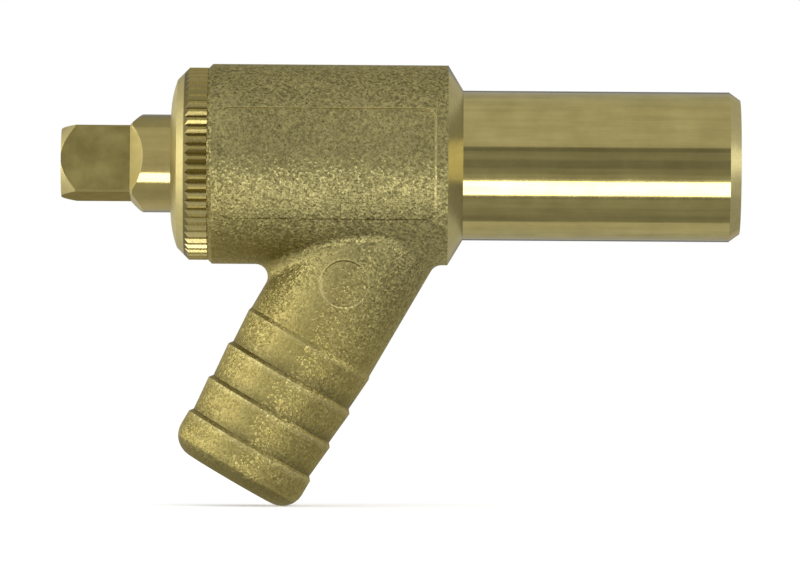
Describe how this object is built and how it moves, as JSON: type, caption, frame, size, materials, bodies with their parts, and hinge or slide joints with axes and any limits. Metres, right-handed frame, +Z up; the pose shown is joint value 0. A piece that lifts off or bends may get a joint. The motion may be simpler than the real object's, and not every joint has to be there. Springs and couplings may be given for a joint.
{
  "type": "drain cock",
  "caption": "Brass drain cock with a plain pipe spigot, a slanting barbed hose tail, a knurled bonnet and a square-headed screw-down spindle that opens and shuts it.",
  "frame": {"origin": "centre of the shoulder plane where the spigot leaves the barrel, on the spigot's axis", "axes": "+X out along the spigot, +Z up, so the hose tail falls towards -X and -Z and the square head points along -X"},
  "size_m": [0.0679, 0.02, 0.0442],
  "materials": {
    "forged_brass": "blasted forging with bright turned ends",
    "turned_brass": "fine turned",
    "seal_rubber": "smooth black rubber"
  },
  "bodies": {
    "valve": {"valve_body": "forged_brass", "knurled_bonnet": "turned_brass", "bonnet_o_ring": "seal_rubber"},
    "jumper": {"jumper": "turned_brass", "seat_washer": "seal_rubber", "washer_nut": "turned_brass"},
    "spindle": {"spindle": "turned_brass", "spindle_o_ring": "seal_rubber", "jumper_pin": "turned_brass"}
  },
  "joints": [
    {"name": "spindle_travel", "type": "slide", "parent": "valve", "child": "jumper", "axis": [-1, 0, 0], "range_m": [0, 0.00375]},
    {"name": "spindle_turn", "type": "hinge", "parent": "jumper", "child": "spindle", "pos_m": [-0.01, 0, 0], "axis": [-1, 0, 0], "range_deg": [0, 1080]}
  ],
  "couplings": [
    {"joint": "spindle_turn", "follows": "spindle_travel", "rad_per_m": 5026.5}
  ]
}
